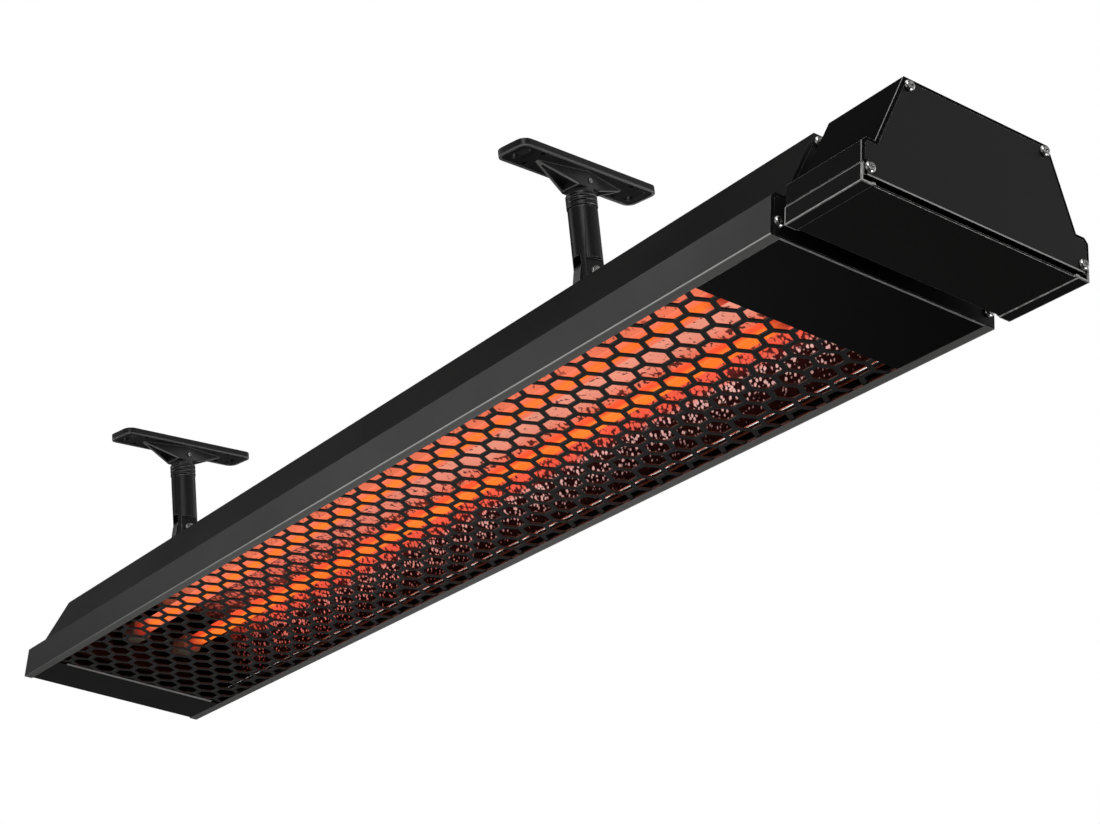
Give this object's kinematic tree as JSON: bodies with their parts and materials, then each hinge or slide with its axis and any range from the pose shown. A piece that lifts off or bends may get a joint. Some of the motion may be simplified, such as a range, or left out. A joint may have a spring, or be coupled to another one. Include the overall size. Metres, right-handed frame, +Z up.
{
  "type": "ceiling-hung strip heat lamp warmer",
  "caption": "Long radiant heat lamp warmer with a hat-section housing, honeycomb guard, twin tube lamps and swivel-and-tilt ceiling brackets.",
  "frame": {"origin": "centre of the near ceiling plate's top face, where it meets the ceiling, on the near arm's swivel axis", "axes": "+X along the heater towards its terminal box, +Y across it, +Z up into the ceiling"},
  "size_m": [1.1128, 0.1785, 0.2258],
  "materials": {
    "powder_black": "satin fine-texture black powder coat",
    "cast_black": "satin black paint on die castings",
    "reflector_aluminium": "bright hammered sheet",
    "bright_steel": "bright stainless",
    "quartz": "clear fused quartz",
    "carbon": "glowing carbon fibre ribbon",
    "ceramic": "unglazed steatite",
    "terminal_plastic": "moulded terminal plastic",
    "gland_plastic": "moulded black nylon"
  },
  "bodies": {
    "near_plate": {"near_ceiling_plate": "cast_black", "near_hub_screw": "bright_steel"},
    "near_arm": {"near_swivel_collar": "cast_black", "near_arm_tube": "cast_black", "near_pivot_bolt": "bright_steel", "near_pivot_nut": "bright_steel"},
    "heater": {"near_knuckle_foot": "cast_black", "near_foot_screw_1": "bright_steel", "near_foot_screw_2": "bright_steel", "far_knuckle_foot": "cast_black", "far_foot_screw_1": "bright_steel", "far_foot_screw_2": "bright_steel", "main_housing": "powder_black", "far_end_plate": "powder_black", "near_bulkhead": "powder_black", "far_bottom_strip": "powder_black", "near_blanking_panel": "powder_black", "lamp_grille": "powder_black", "reflector": "reflector_aluminium", "reflector_far_plate": "reflector_aluminium", "reflector_near_plate": "reflector_aluminium", "quartz_tube_left": "quartz", "quartz_tube_right": "quartz", "carbon_filament_left": "carbon", "carbon_filament_right": "carbon", "ceramic_cap_left_far": "ceramic", "ceramic_cap_left_near": "ceramic", "ceramic_cap_right_far": "ceramic", "ceramic_cap_right_near": "ceramic", "lamp_holder_far": "bright_steel", "lamp_holder_near": "bright_steel", "neck_duct": "powder_black", "terminal_housing": "powder_black", "terminal_tray_cover": "powder_black", "terminal_inner_plate": "powder_black", "terminal_end_plate": "powder_black", "terminal_block": "terminal_plastic", "cable_gland": "gland_plastic", "gland_lock_nut": "gland_plastic", "far_end_screw_1": "bright_steel", "far_end_screw_2": "bright_steel", "far_end_screw_3": "bright_steel", "far_end_screw_4": "bright_steel", "bulkhead_screw_1": "bright_steel", "bulkhead_screw_2": "bright_steel", "bulkhead_screw_3": "bright_steel", "bulkhead_screw_4": "bright_steel", "end_plate_screw_1": "bright_steel", "end_plate_screw_2": "bright_steel", "end_plate_screw_3": "bright_steel", "end_plate_screw_4": "bright_steel"},
    "far_arm": {"far_swivel_collar": "cast_black", "far_arm_tube": "cast_black", "far_pivot_bolt": "bright_steel", "far_pivot_nut": "bright_steel"},
    "far_plate": {"far_ceiling_plate": "cast_black", "far_hub_screw": "bright_steel"}
  },
  "joints": [
    {"name": "near_swivel", "type": "hinge", "parent": "near_plate", "child": "near_arm", "pos_m": [0, 0, -0.0205], "axis": [0, 0, 1], "range_deg": [-90, 90]},
    {"name": "heater_tilt", "type": "hinge", "parent": "near_arm", "child": "heater", "pos_m": [0, 0, -0.081], "axis": [1, 0, 0], "range_deg": [-34, 56]},
    {"name": "far_tilt", "type": "hinge", "parent": "heater", "child": "far_arm", "pos_m": [-0.62, 0, -0.081], "axis": [1, 0, 0], "range_deg": [-56, 34]},
    {"name": "far_swivel", "type": "hinge", "parent": "far_arm", "child": "far_plate", "pos_m": [-0.62, 0, -0.0205], "axis": [0, 0, 1], "range_deg": [-90, 90]}
  ],
  "couplings": [
    {"joint": "far_tilt", "follows": "heater_tilt", "ratio": -1}
  ]
}
